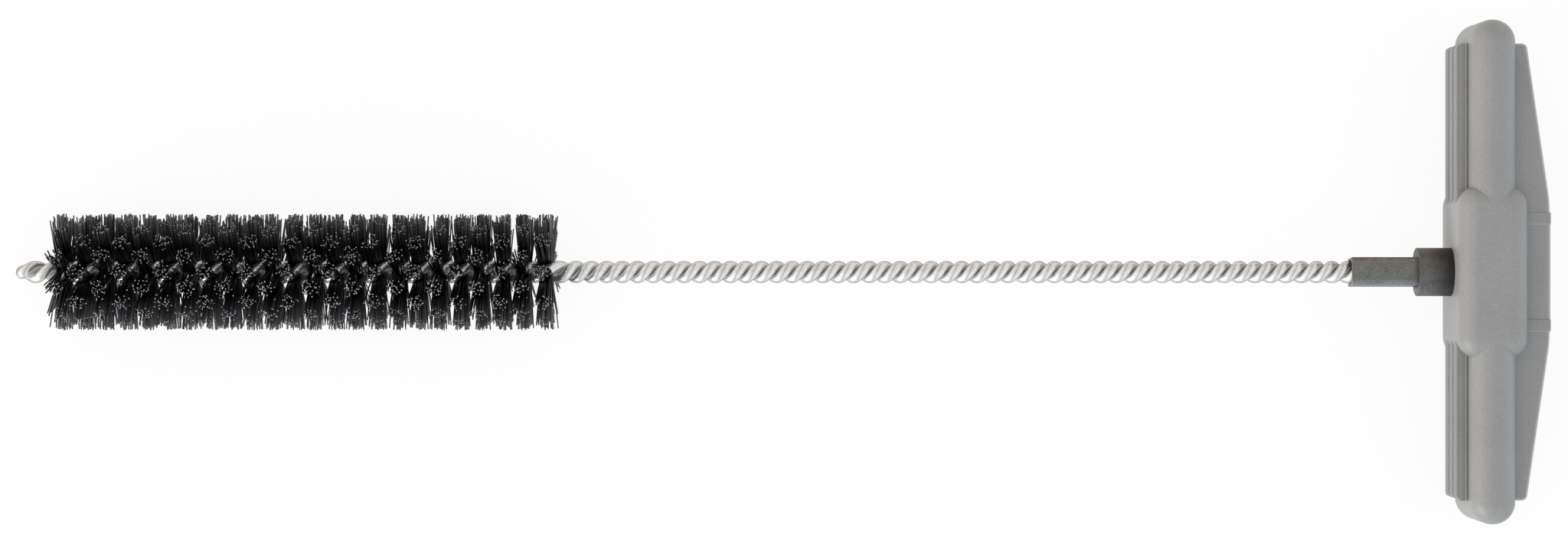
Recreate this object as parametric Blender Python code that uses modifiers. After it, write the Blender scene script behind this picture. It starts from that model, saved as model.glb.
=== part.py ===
# Drill hole cleaning brush. A steel wire is folded at the tip and its two legs are twisted together.
# In the brush head the legs clamp 24 rings of nylon filaments. The far end is crimped into a square
# drive shank, which a steel collar moulded into a T handle holds.
# Metres, +Z up. +X runs along the wire from the tip to the handle, +Y along the handle.
# The origin is under the middle of the brush, on the surface that it lies on.

import math

import bmesh
import bpy
import numpy as np
from mathutils import Matrix, Vector

MM = 0.001

# Lengths along the wire, from the tip to the palm side of the handle
TIP_REACH = 11.05 * MM
RING_COUNT = 24
RING_PITCH = 4.49 * MM
STEM_LENGTH = 173.9 * MM
SHANK_SHOWN = 14.25 * MM
COLLAR_SHOWN = 7.49 * MM
HUB_PROUD = 2.56 * MM
BAR_WIDTH = 9.65 * MM
PALM_REACH = 7.9 * MM

# Wire
WIRE_DIAMETER = 2.0 * MM
LEG_GAP = 0.8 * MM
STEM_PITCH = 6.665 * MM
SETTLE_LENGTH = 3.4 * MM
CRIMP_LENGTH = 10.0 * MM
POINTS_PER_TURN = 8
FOLD_POINTS = 9

# Filament rings
BRUSH_DIAMETER = 25.2 * MM
TUFTS_PER_RING = 11
STRAND_TIP = 0.42 * MM
STRAND_RAGGED = 0.45 * MM
TUFT_LEAN = 1.05 * MM
TUFT_FAN = 0.55 * MM
TIP_END_SPLAY = 2.3 * MM
STEM_END_SPLAY = 1.2 * MM
CLAMP_THICKNESS = 0.30 * MM
CLAMP_LENGTH = 0.90 * MM
CLAMP_CLEARANCE = 0.34 * MM
KNOT_RADIUS = 0.95 * MM
KNOT_LENGTH = 1.70 * MM
KNOT_SIDES = 8

# Drive shank
WIRE_CLEARANCE = 0.22 * MM
SHANK_WALL = 0.41 * MM
SHANK_CORNER = 0.45 * MM
SHANK_TURN = math.radians(-4.3)
BORE_RUN_OUT = 1.2 * MM

# Socket collar
SEAT_GAP = 0.3 * MM
COLLAR_WALL = 0.7 * MM
COLLAR_CHAMFER = 0.3 * MM
ANCHOR_SETBACK = 3.0 * MM
ANCHOR_LENGTH = 3.6 * MM
ANCHOR_HEIGHT = 1.2 * MM
COLLAR_TAIL = 2.8 * MM
ROUND_STEPS = 24

# T handle
GRIP_THICKNESS = 25.4 * MM
BAR_LENGTH = 108.0 * MM
BAR_EDGE = 4.2 * MM
HUB_LENGTH = 36.8 * MM
HUB_DEPTH = 14.66 * MM
HUB_RISE = 0.05 * MM
HUB_EDGE = 3.7 * MM
HUB_CORNER = 3.9 * MM
FLANK_LENGTH = 97.9 * MM
FLANK_CORNER = 1.24 * MM
RIDGE_COUNT = 3
RIDGE_PITCH = 4.8 * MM
RIDGE_PROUD = 2.5 * MM
RIDGE_EDGE = 0.45 * MM
GROOVE_WIDTH = 0.95 * MM
GROOVE_DEPTH = 1.4 * MM
WEB_THICKNESS = 15.0 * MM
WEB_EDGE = 0.8 * MM
WEB_END_REACH = 2.76 * MM
WEB_SHOULDER_REACH = 7.71 * MM
WEB_SHOULDER_LENGTH = 30.0 * MM
WEB_SHOULDER_RADIUS = 27.0 * MM
PAD_LENGTH = 25.7 * MM
PAD_RECESS = 0.06 * MM
RIB_WIDTH = 2.67 * MM
RIB_HEIGHT = 0.25 * MM
RIB_EDGE = 0.35 * MM

OVERRUN = 2.0 * MM
MERGE = 0.002 * MM
GOLDEN_SHARE = 0.618034
QUARTER_TURN = math.pi / 2

# Stations along X
overall_length = (
    TIP_REACH
    + (RING_COUNT - 1) * RING_PITCH
    + STEM_LENGTH
    + SHANK_SHOWN
    + COLLAR_SHOWN
    + HUB_PROUD
    + BAR_WIDTH
    + PALM_REACH
)
tip_x = -overall_length / 2
first_ring_x = tip_x + TIP_REACH
last_ring_x = first_ring_x + (RING_COUNT - 1) * RING_PITCH
shank_x = last_ring_x + STEM_LENGTH
collar_x = shank_x + SHANK_SHOWN
hub_x = collar_x + COLLAR_SHOWN
bar_x = hub_x + HUB_PROUD
bar_end_x = bar_x + BAR_WIDTH
axis_z = GRIP_THICKNESS / 2

# Radii that follow from the wire
wire_radius = WIRE_DIAMETER / 2
stem_leg_radius = wire_radius + LEG_GAP / 2
head_leg_radius = wire_radius + CLAMP_THICKNESS / 2 + CLAMP_CLEARANCE
shank_bore_radius = stem_leg_radius + wire_radius + WIRE_CLEARANCE
drive_square = 2 * (shank_bore_radius + SHANK_WALL)
socket_square = drive_square + 2 * SEAT_GAP
collar_radius = socket_square / math.sqrt(2) - SHANK_CORNER * (math.sqrt(2) - 1) + COLLAR_WALL
collar_length = COLLAR_SHOWN + ANCHOR_SETBACK + ANCHOR_LENGTH + COLLAR_TAIL


def new_material(name, colour, roughness, metallic):
    material = bpy.data.materials.new(name)
    material.use_nodes = True
    shader = material.node_tree.nodes["Principled BSDF"]
    shader.inputs["Base Color"].default_value = (*colour, 1.0)
    shader.inputs["Roughness"].default_value = roughness
    shader.inputs["Metallic"].default_value = metallic
    return material


def add_part(name, data, material, location=(0, 0, 0), turn_x=0.0):
    """Links a finished mesh or curve as one named piece under the brush's empty."""
    part = bpy.data.objects.new(name, data)
    if not data.materials:
        data.materials.append(material)
    part.location = location
    part.rotation_euler = (turn_x, 0, 0)
    part.parent = brush_root
    parts_collection.objects.link(part)
    return part


def add_tool(name, mesh):
    """Links a mesh that only joins or cuts another."""
    tool = bpy.data.objects.new(name, mesh)
    tool.hide_render = True
    tool.display_type = "WIRE"
    tools_collection.objects.link(tool)
    return tool


def finished_mesh(thing):
    """The evaluated mesh of a helper object, in world space and welded. The helper is removed."""
    bpy.context.view_layer.update()
    graph = bpy.context.evaluated_depsgraph_get()
    mesh = bpy.data.meshes.new_from_object(thing.evaluated_get(graph))
    mesh.transform(thing.matrix_world)
    bm = bmesh.new()
    bm.from_mesh(mesh)
    bmesh.ops.remove_doubles(bm, verts=bm.verts, dist=MERGE)
    bmesh.ops.recalc_face_normals(bm, faces=bm.faces)
    bm.to_mesh(mesh)
    bm.free()
    bpy.data.objects.remove(thing)
    return mesh


def combine(base, tool, operation):
    """Adds a Boolean of the tool to the base object."""
    modifier = base.modifiers.new(operation.title(), "BOOLEAN")
    modifier.operation = operation
    modifier.object = tool
    modifier.solver = "EXACT"


def box_mesh(name, low, high, edge=0.0, segments=3):
    """A box between two corners, its edges rounded where an edge radius is given."""
    bm = bmesh.new()
    bmesh.ops.create_cube(bm, size=1)
    low, high = Vector(low), Vector(high)
    bmesh.ops.scale(bm, vec=high - low, verts=bm.verts)
    bmesh.ops.translate(bm, vec=(low + high) / 2, verts=bm.verts)
    mesh = bpy.data.meshes.new(name)
    bm.to_mesh(mesh)
    bm.free()
    if not edge:
        return mesh
    rounded = add_tool(name, mesh)
    bevel = rounded.modifiers.new("Edges", "BEVEL")
    bevel.width = edge
    bevel.segments = segments
    bevel.limit_method = "NONE"
    return finished_mesh(rounded)


def filleted_outline(corners, steps=4):
    """Outline points of a polygon whose corners, each (x, y, radius), are turned into arcs."""
    points = []
    for i, (x, y, radius) in enumerate(corners):
        here = Vector((x, y))
        if not radius:
            points.append(here)
            continue
        before = (Vector(corners[i - 1][:2]) - here).normalized()
        after = (Vector(corners[(i + 1) % len(corners)][:2]) - here).normalized()
        half_angle = before.angle(after) / 2
        centre = here + (before + after).normalized() * radius / math.sin(half_angle)
        start = here + before * radius / math.tan(half_angle) - centre
        sweep = math.pi - 2 * half_angle
        if start.x * after.y - start.y * after.x < 0:
            sweep = -sweep
        for step in range(steps + 1):
            turned = Matrix.Rotation(sweep * step / steps, 2) @ start
            points.append(centre + turned)
    return points


def slab_mesh(name, outline, half_thickness, edge, resolution=3):
    """A flat outline in XY made a slab about the wire's axis plane, its front and back edges rounded."""
    curve = bpy.data.curves.new(name, "CURVE")
    curve.dimensions = "2D"
    curve.fill_mode = "BOTH"
    curve.extrude = half_thickness - edge
    curve.bevel_depth = edge
    curve.bevel_resolution = resolution
    curve.offset = -edge
    spline = curve.splines.new("POLY")
    spline.points.add(len(outline) - 1)
    for point, place in zip(spline.points, outline):
        point.co = (place[0], place[1], 0, 1)
    spline.use_cyclic_u = True
    flat = bpy.data.objects.new(name, curve)
    flat.location = (0, 0, axis_z)
    tools_collection.objects.link(flat)
    return finished_mesh(flat)


def turned_mesh(name, profile, x_start):
    """A profile of (radius, distance) pairs, from its far end to its near end, turned about the X axis."""
    mesh = bpy.data.meshes.new(name)
    points = [(radius, 0, distance) for radius, distance in profile]
    mesh.from_pydata(points, [(i, i + 1) for i in range(len(points) - 1)], [])
    turned = bpy.data.objects.new(name, mesh)
    tools_collection.objects.link(turned)
    screw = turned.modifiers.new("Turn", "SCREW")
    screw.steps = ROUND_STEPS
    screw.render_steps = ROUND_STEPS
    screw.use_merge_vertices = True
    screw.merge_threshold = MERGE
    turned.rotation_euler = (0, QUARTER_TURN, 0)
    turned.location = (x_start, 0, axis_z)
    return finished_mesh(turned)


def smooth(part, degrees=35):
    part.data.shade_smooth()
    part.data.set_sharp_from_angle(angle=math.radians(degrees))


# Twisted wire


def twist_tables():
    """Stations along X with the twist angle and the leg radius at each, straight between them."""
    ring_turn = math.pi * (last_ring_x - first_ring_x) / RING_PITCH
    settled_x = last_ring_x + SETTLE_LENGTH
    end_x = shank_x + CRIMP_LENGTH
    fold_x = tip_x + wire_radius + stem_leg_radius
    first_angle = QUARTER_TURN
    last_angle = first_angle - ring_turn
    settled_angle = last_angle - QUARTER_TURN
    end_angle = settled_angle - 2 * math.pi * (end_x - settled_x) / STEM_PITCH
    fold_angle = first_angle + math.pi * (first_ring_x - fold_x) / RING_PITCH
    stations = [fold_x, first_ring_x, last_ring_x, settled_x, end_x]
    angles = [fold_angle, first_angle, last_angle, settled_angle, end_angle]
    radii = [stem_leg_radius, head_leg_radius, head_leg_radius, stem_leg_radius, stem_leg_radius]
    return np.array(stations), np.array(angles), np.array(radii)


def wire_path():
    """Points of the whole wire: down one leg to the tip, round the fold and back up the other leg."""
    stations, angles, radii = twist_tables()
    turns = (angles[0] - angles[-1]) / (2 * math.pi)
    count = math.ceil(turns * POINTS_PER_TURN)
    angle = np.linspace(angles[-1], angles[0], count + 1)
    x = np.interp(angle, angles[::-1], stations[::-1])
    radius = np.interp(x, stations, radii)
    # The fold: the radius swings from one leg's side to the other's while the twist runs on.
    swing = np.linspace(0, math.pi, FOLD_POINTS + 2)[1:-1]
    fold_x = stations[0] - radii[0] * np.sin(swing)
    fold_angle = angles[0] + math.pi * (stations[0] - fold_x) / RING_PITCH
    fold_radius = radii[0] * np.cos(swing)
    all_x = np.concatenate([x, fold_x, x[::-1]])
    all_angle = np.concatenate([angle, fold_angle, angle[::-1]])
    all_radius = np.concatenate([radius, fold_radius, -radius[::-1]])
    y = all_radius * np.cos(all_angle)
    z = axis_z + all_radius * np.sin(all_angle)
    return np.stack([all_x, y, z], axis=1)


def least_gap(path, diameter, apart):
    """Smallest clearance between stretches of a tube that lie further apart than this along it."""
    steps = np.linspace(0, len(path) - 1, 4 * (len(path) - 1) + 1)
    dense = np.stack([np.interp(steps, np.arange(len(path)), places) for places in path.T], axis=1)
    along = np.concatenate([[0], np.cumsum(np.linalg.norm(np.diff(dense, axis=0), axis=1))])
    least = math.inf
    for point, reach in zip(dense, along):
        others = dense[np.abs(along - reach) > apart]
        least = min(least, float(np.linalg.norm(others - point, axis=1).min()))
    return least - diameter


def make_wire():
    path = wire_path()
    print("wire: least gap to itself", round(least_gap(path, WIRE_DIAMETER, 2 * STEM_PITCH) / MM, 3), "mm")
    curve = bpy.data.curves.new("twisted_wire", "CURVE")
    curve.dimensions = "3D"
    curve.bevel_depth = wire_radius
    curve.bevel_resolution = 1
    curve.use_fill_caps = True
    spline = curve.splines.new("POLY")
    spline.points.add(len(path) - 1)
    for point, place in zip(spline.points, path):
        point.co = (*place, 1)
    spline.use_smooth = True
    add_part("twisted_wire", curve, wire_steel)


# Filament rings


def facet_normal(face):
    face.normal_update()
    return face.normal


def draw_out(bm, facet, tip):
    """Draws one facet of a knot out into a tapered strand that ends square at its tip."""
    strand_end = bmesh.ops.extrude_discrete_faces(bm, faces=[facet])["faces"][0]
    root = strand_end.calc_center_median()
    turn = facet_normal(strand_end).rotation_difference(tip - root).to_matrix().to_4x4()
    shrink = Matrix.Scale(STRAND_TIP / math.sqrt(strand_end.calc_area()), 4)
    place = Matrix.Translation(tip) @ turn @ shrink @ Matrix.Translation(-root)
    bmesh.ops.transform(bm, matrix=place, verts=strand_end.verts)


def add_knot(bm, side, tip_splay, stem_splay):
    """The knot on one side of the wire, with a tuft drawn out of each facet that doesn't face the wire.
    A tuft has two strands, and a knot's first and last tuft have one, so that the ring stays even."""
    knot_y = side * (head_leg_radius + wire_radius + KNOT_RADIUS)
    place = Matrix.Translation((0, knot_y, 0)) @ Matrix.Rotation(QUARTER_TURN, 4, "Y")
    verts = bmesh.ops.create_cone(
        bm,
        cap_ends=True,
        segments=KNOT_SIDES,
        radius1=KNOT_RADIUS,
        radius2=KNOT_RADIUS,
        depth=KNOT_LENGTH,
        matrix=place,
    )["verts"]
    sides = {face for vert in verts for face in vert.link_faces if len(face.verts) == 4}
    edges = {edge for face in sides for edge in face.edges}
    bmesh.ops.bisect_plane(bm, geom=[*sides, *edges, *verts], plane_co=(0, 0, 0), plane_no=(1, 0, 0))
    facets = [face for face in bm.faces if len(face.verts) == 4 and face.calc_center_median().y * side > 0]
    tufts = TUFTS_PER_RING // 2 + 1
    for tuft in range(tufts):
        facet_angle = 2 * math.pi * (tuft - 0.5) / KNOT_SIDES
        tuft_angle = 2 * math.pi * tuft / TUFTS_PER_RING
        leans = (side,) if tuft in (0, tufts - 1) else (side, -side)
        for lean in leans:
            aim = Vector((lean, side * math.sin(facet_angle), math.cos(facet_angle)))
            facet = max(facets, key=lambda face: (face.calc_center_median() - Vector((0, knot_y, 0))).dot(aim))
            facets.remove(facet)
            reach = BRUSH_DIAMETER / 2 - STRAND_RAGGED * (len(facets) * GOLDEN_SHARE % 1)
            angle = tuft_angle + lean * TUFT_FAN / reach
            tip_x_offset = lean * TUFT_LEAN + (stem_splay if lean > 0 else -tip_splay)
            draw_out(bm, facet, Vector((tip_x_offset, side * reach * math.sin(angle), reach * math.cos(angle))))


def ring_mesh(name, tip_splay, stem_splay):
    """One ring about its own centre: the strip that the wire's legs clamp, and a knot on both its ends,
    where the filaments leave the wire and fan out in evenly spaced tufts."""
    bm = bmesh.new()
    for side in (1, -1):
        add_knot(bm, side, tip_splay, stem_splay)
    knots = bpy.data.meshes.new(name)
    bm.to_mesh(knots)
    bm.free()
    half_clamp = CLAMP_LENGTH / 2
    half_strip = CLAMP_THICKNESS / 2
    knot_y = head_leg_radius + wire_radius + KNOT_RADIUS
    strip = box_mesh("strip", (-half_clamp, -knot_y, -half_strip), (half_clamp, knot_y, half_strip))
    ring = add_tool(name, knots)
    strip_tool = add_tool("strip", strip)
    combine(ring, strip_tool, "UNION")
    mesh = finished_mesh(ring)
    bpy.data.objects.remove(strip_tool)
    return mesh


def make_rings():
    """Each ring sits half a twist from the last, so every other ring is turned half round."""
    middle = ring_mesh("ring_middle", 0, 0)
    tip_end = ring_mesh("ring_tip_end", TIP_END_SPLAY, 0)
    stem_end = ring_mesh("ring_stem_end", 0, STEM_END_SPLAY)
    for index in range(RING_COUNT):
        mesh = middle
        if index == 0:
            mesh = tip_end
        elif index == RING_COUNT - 1:
            mesh = stem_end
        location = (first_ring_x + index * RING_PITCH, 0, axis_z)
        turn = math.pi * ((index + 1) % 2)
        add_part(f"bristle_ring_{index + 1:02d}", mesh, nylon, location, turn)


# Drive shank


def square_bar(name, side, x_start, x_end):
    """A square bar about the wire's axis, with rounded edges and the shank's slight turn."""
    half = side / 2
    mesh = box_mesh(name, (x_start, -half, -half), (x_end, half, half), SHANK_CORNER)
    mesh.transform(Matrix.Translation((0, 0, axis_z)) @ Matrix.Rotation(SHANK_TURN, 4, "X"))
    return mesh


def make_shank():
    end_x = collar_x + collar_length - SEAT_GAP
    shank = add_part("drive_shank", square_bar("drive_shank", drive_square, shank_x, end_x), shank_steel)
    bore_end = CRIMP_LENGTH + BORE_RUN_OUT
    bore = [(0, bore_end), (shank_bore_radius, bore_end), (shank_bore_radius, -OVERRUN), (0, -OVERRUN)]
    combine(shank, add_tool("shank_bore", turned_mesh("shank_bore", bore, shank_x)), "DIFFERENCE")
    smooth(shank)


# Socket collar


def collar_profile(grown, near):
    """The collar's outline from its far end to its near face, grown all round by a clearance. The anchor
    flange, which the moulding locks round, sits inside the hub."""
    radius = collar_radius + grown
    anchor = radius + ANCHOR_HEIGHT
    start = COLLAR_SHOWN + ANCHOR_SETBACK - grown
    end = start + ANCHOR_LENGTH + 2 * grown
    far = collar_length + grown
    return [(0, far), (radius, far), (radius, end), (anchor, end), (anchor, start), (radius, start), *near]


def make_collar():
    near = [(collar_radius, COLLAR_CHAMFER), (collar_radius - COLLAR_CHAMFER, 0), (0, 0)]
    profile = collar_profile(0, near)
    collar = add_part("socket_collar", turned_mesh("socket_collar", profile, collar_x), collar_steel)
    hole = square_bar("socket_hole", socket_square, collar_x - OVERRUN, collar_x + collar_length + OVERRUN)
    combine(collar, add_tool("socket_hole", hole), "DIFFERENCE")
    smooth(collar)


# T handle


def make_handle():
    centre_x = (bar_x + bar_end_x) / 2
    half_bar = BAR_WIDTH / 2
    half_length = BAR_LENGTH / 2
    half_grip = GRIP_THICKNESS / 2
    bar_half_grip = half_grip - HUB_RISE

    # Bar with full round ends
    bar_outline = []
    for end in (1, -1):
        for step in range(ROUND_STEPS // 2 + 1):
            angle = 2 * math.pi * step / ROUND_STEPS
            x = centre_x + end * half_bar * math.cos(angle)
            bar_outline.append((x, end * (half_length - half_bar + half_bar * math.sin(angle))))
    handle = add_part("t_handle", slab_mesh("t_handle", bar_outline, bar_half_grip, BAR_EDGE), handle_plastic)

    # Hub
    half_hub = HUB_LENGTH / 2
    hub_end_x = hub_x + HUB_DEPTH
    hub_corners = [
        (hub_x, -half_hub, HUB_CORNER),
        (hub_end_x, -half_hub, HUB_CORNER),
        (hub_end_x, half_hub, HUB_CORNER),
        (hub_x, half_hub, HUB_CORNER),
    ]
    hub = slab_mesh("hub", filleted_outline(hub_corners), half_grip, HUB_EDGE)
    combine(handle, add_tool("hub", hub), "UNION")

    # Finger flank: a core with three long ridges along it
    half_flank = FLANK_LENGTH / 2
    ridge_x = bar_x - RIDGE_PROUD
    flank_corners = [
        (ridge_x, -half_flank, FLANK_CORNER),
        (centre_x, -half_flank, 0),
        (centre_x, half_flank, 0),
        (ridge_x, half_flank, FLANK_CORNER),
    ]
    flank_outline = filleted_outline(flank_corners)
    half_core = RIDGE_COUNT * RIDGE_PITCH / 2 - GROOVE_WIDTH
    low = (ridge_x + GROOVE_DEPTH, -half_flank + RIDGE_EDGE, axis_z - half_core)
    high = (centre_x, half_flank - RIDGE_EDGE, axis_z + half_core)
    combine(handle, add_tool("flank_core", box_mesh("flank_core", low, high)), "UNION")
    for index in range(RIDGE_COUNT):
        ridge = slab_mesh(f"ridge_{index + 1}", flank_outline, (RIDGE_PITCH - GROOVE_WIDTH) / 2, RIDGE_EDGE, 1)
        ridge.transform(Matrix.Translation((0, 0, (index - (RIDGE_COUNT - 1) / 2) * RIDGE_PITCH)))
        combine(handle, add_tool(f"ridge_{index + 1}", ridge), "UNION")

    # Palm web, which widens to a pad behind the hub
    half_web = WEB_THICKNESS / 2
    end_x = bar_end_x + WEB_END_REACH
    shoulder_x = bar_end_x + WEB_SHOULDER_REACH
    half_shoulder = WEB_SHOULDER_LENGTH / 2
    web_corners = [
        (centre_x, -half_flank, 0),
        (end_x, -half_flank, FLANK_CORNER),
        (shoulder_x, -half_shoulder, WEB_SHOULDER_RADIUS),
        (shoulder_x, half_shoulder, WEB_SHOULDER_RADIUS),
        (end_x, half_flank, FLANK_CORNER),
        (centre_x, half_flank, 0),
    ]
    web = slab_mesh("web", filleted_outline(web_corners), half_web, WEB_EDGE, 1)
    combine(handle, add_tool("web", web), "UNION")
    half_pad = PAD_LENGTH / 2
    pad_end_x = bar_end_x + PALM_REACH
    pad_z = half_web - PAD_RECESS
    low = (centre_x, -half_pad, axis_z - pad_z)
    high = (pad_end_x, half_pad, axis_z + pad_z)
    combine(handle, add_tool("pad", box_mesh("pad", low, high, WEB_EDGE)), "UNION")

    # A low rib along each end of the pad
    rib_z = half_web + RIB_HEIGHT
    rib_end_x = pad_end_x - PAD_RECESS
    for side in (-1, 1):
        outer = side * (half_pad - PAD_RECESS)
        ends = sorted((outer, outer - side * RIB_WIDTH))
        low = (centre_x, ends[0], axis_z - rib_z)
        high = (rib_end_x, ends[1], axis_z + rib_z)
        combine(handle, add_tool("rib", box_mesh("rib", low, high, RIB_EDGE, 2)), "UNION")

    # Pocket that the moulding leaves round the collar
    near = [(collar_radius + SEAT_GAP, COLLAR_SHOWN - OVERRUN), (0, COLLAR_SHOWN - OVERRUN)]
    pocket = turned_mesh("pocket", collar_profile(SEAT_GAP, near), collar_x)
    combine(handle, add_tool("pocket", pocket), "DIFFERENCE")
    smooth(handle)


for leftover in list(bpy.data.objects):
    bpy.data.objects.remove(leftover, do_unlink=True)

parts_collection = bpy.data.collections.new("drill_hole_cleaning_brush")
tools_collection = bpy.data.collections.new("cutters")
bpy.context.scene.collection.children.link(parts_collection)
bpy.context.scene.collection.children.link(tools_collection)
brush_root = bpy.data.objects.new("brush_root", None)
parts_collection.objects.link(brush_root)

handle_plastic = new_material("moulded_grey_plastic", (0.31, 0.31, 0.305), 0.5, 0.0)
collar_steel = new_material("blackened_steel", (0.09, 0.09, 0.085), 0.55, 0.8)
shank_steel = new_material("blasted_steel", (0.16, 0.16, 0.155), 0.5, 0.9)
wire_steel = new_material("galvanised_wire", (0.70, 0.70, 0.69), 0.25, 1.0)
nylon = new_material("black_nylon", (0.02, 0.02, 0.021), 0.45, 0.0)

make_handle()
make_collar()
make_shank()
make_wire()
make_rings()
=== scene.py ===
import math

import bpy
import numpy as np
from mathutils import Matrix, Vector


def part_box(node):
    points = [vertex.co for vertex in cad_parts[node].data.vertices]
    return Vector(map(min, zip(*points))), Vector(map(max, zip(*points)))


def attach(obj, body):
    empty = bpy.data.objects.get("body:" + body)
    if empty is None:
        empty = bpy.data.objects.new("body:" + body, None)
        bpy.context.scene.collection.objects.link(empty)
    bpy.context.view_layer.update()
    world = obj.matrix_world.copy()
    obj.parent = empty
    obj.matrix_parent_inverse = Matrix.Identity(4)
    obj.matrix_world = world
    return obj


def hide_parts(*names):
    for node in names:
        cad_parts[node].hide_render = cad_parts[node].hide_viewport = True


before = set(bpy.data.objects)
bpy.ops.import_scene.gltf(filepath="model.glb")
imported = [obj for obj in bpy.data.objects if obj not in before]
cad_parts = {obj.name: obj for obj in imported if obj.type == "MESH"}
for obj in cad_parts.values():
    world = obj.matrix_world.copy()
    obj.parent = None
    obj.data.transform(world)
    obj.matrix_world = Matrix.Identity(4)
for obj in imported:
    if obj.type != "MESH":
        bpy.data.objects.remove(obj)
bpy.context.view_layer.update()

mm = 0.001
twoPi = 2 * math.pi

# Where the pieces stand: the solids give the ends, and the rings' places were measured
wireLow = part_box("twisted_wire")[0]
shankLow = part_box("drive_shank")[0]
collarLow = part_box("socket_collar")[0]
handleLow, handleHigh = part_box("t_handle")
ringNodes = sorted(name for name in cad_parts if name.startswith("bristle_ring_"))
ringPitch = 4.49 * mm
firstRing = -153.985 * mm
lastRing = firstRing + (len(ringNodes) - 1) * ringPitch
axisZ = (handleLow.z + handleHigh.z) / 2


# Small helpers

def linearColour(code):
    # sRGB hex to linear RGBA
    shares = np.array([int(code[i:i + 2], 16) for i in (1, 3, 5)]) / 255
    linear = np.where(shares <= 0.04045, shares / 12.92, ((shares + 0.055) / 1.055) ** 2.4)
    return (*linear.tolist(), 1.0)


def addNode(tree, kind, values=None, links=None, stops=None, **settings):
    # one node with its settings, its socket values, what feeds its sockets and a colour ramp's stops, of
    # which the first two take the place of the ramp's own
    node = tree.nodes.new(kind)
    for name, value in settings.items():
        setattr(node, name, value)
    for name, value in (values or {}).items():
        node.inputs[name].default_value = value
    for name, source in (links or {}).items():
        tree.links.new(source, node.inputs[name])
    for order, (level, colour) in enumerate(stops or ()):
        stop = node.color_ramp.elements[order] if order < 2 else node.color_ramp.elements.new(level)
        stop.position, stop.color = level, colour
    return node


def newMaterial(name, **shaderValues):
    material = bpy.data.materials.new(name)
    material.use_nodes = True
    shader = material.node_tree.nodes["Principled BSDF"]
    for socketName, value in shaderValues.items():
        shader.inputs[socketName.replace("_", " ")].default_value = value
    return material, material.node_tree, shader


def meshFrom(name, points, faceGroups, materials, faceMaterials=None):
    # points is (n, 3); each face group is (count, corners) indices
    mesh = bpy.data.meshes.new(name)
    corners = np.concatenate([group.ravel() for group in faceGroups])
    sides = np.concatenate([np.full(len(group), group.shape[1]) for group in faceGroups])
    mesh.vertices.add(len(points))
    mesh.vertices.foreach_set("co", np.asarray(points, np.float32).ravel())
    mesh.loops.add(len(corners))
    mesh.loops.foreach_set("vertex_index", corners.astype(np.int32))
    mesh.polygons.add(len(sides))
    mesh.polygons.foreach_set("loop_start", (np.cumsum(sides) - sides).astype(np.int32))
    for material in materials:
        mesh.materials.append(material)
    if faceMaterials is not None:
        mesh.polygons.foreach_set("material_index", faceMaterials.astype(np.int32))
    mesh.polygons.foreach_set("use_smooth", np.ones(len(sides), bool))
    mesh.update(calc_edges=True)
    return mesh


def addPiece(name, mesh, nodes):
    piece = bpy.data.objects.new(name, mesh)
    bpy.context.scene.collection.objects.link(piece)
    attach(piece, "root")
    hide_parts(*nodes)


def gridFaces(rows, columns):
    # quads between neighbouring rows of a grid, the last column joined to the first
    row, column = np.meshgrid(np.arange(rows - 1), np.arange(columns), indexing="ij")
    after = (column + 1) % columns
    quads = np.stack([row * columns + column, row * columns + after,
                      (row + 1) * columns + after, (row + 1) * columns + column], axis=-1)
    return quads.reshape(-1, 4)


def endCaps(rows, columns):
    # a grid's first row, turned to face out, and its last row, as one face each
    return np.array([np.arange(columns)[::-1], (rows - 1) * columns + np.arange(columns)])


# Moulded grip: every part of it is a flat outline with rounded front and back edges

grip = {
    "barWidth": 9.65 * mm, "barEdge": 4.7 * mm, "barRise": 0.02 * mm, "barEase": 0.001 * mm,
    "hubLength": 36.8 * mm, "hubDepth": 14.66 * mm, "hubProud": 2.56 * mm,
    "hubEdge": 4.1 * mm, "hubCorner": 4.25 * mm,
    "flankLength": 97.9 * mm, "flankCorner": 1.24 * mm,
    "ridgeProud": 2.5 * mm, "ridgePitch": 4.8 * mm, "ridgeEdge": 0.45 * mm,
    "grooveWidth": 0.8 * mm, "grooveDepth": 0.8 * mm, "grooveDraft": 0.05 * mm, "valleyDrop": 0.25 * mm,
    "beadPlace": 0.46 * mm, "beadHalf": 0.14 * mm, "beadRise": 0.32 * mm, "beadFoot": 1.6, "beadCrown": 0.6,
    "webThickness": 15.0 * mm, "webEdge": 0.8 * mm, "webEndReach": 2.76 * mm,
    "webShoulderReach": 7.71 * mm, "webShoulderLength": 30.0 * mm, "webShoulderRadius": 27.0 * mm,
    "padLength": 25.7 * mm, "padCorner": 0.9 * mm, "padRecess": 0.06 * mm,
    "ribWidth": 2.67 * mm, "ribHeight": 0.25 * mm, "ribEdge": 0.3 * mm, "ribCorner": 0.35 * mm,
    # a loop of points this far inside each rounded edge keeps the flat face flat
    "support": 0.12 * mm, "ribSupport": 0.03 * mm, "sharpAngle": math.radians(35),
    # steps round each corner of an outline, and over its edge
    "barSteps": (20, 14), "hubSteps": (12, 14), "webSteps": (12, 10), "ribSteps": (4, 4),
    "ridgeSteps": 5, "flankSteps": 8,
    # limits on the normals of the edges that get a painted highlight, a paler plastic: z from and to, and x from,
    # on the web and the pad; y to, and z from, on the ribs
    "webHighlight": (0.6, 0.9, -0.5), "ribHighlight": (-0.3, 0.2), "leastArea": 1e-15,
}


def rectangle(lowX, highX, middleY, halfY, radius):
    lowY, highY = middleY - halfY, middleY + halfY
    return [(lowX, lowY, radius), (highX, lowY, radius), (highX, highY, radius), (lowX, highY, radius)]


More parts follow.
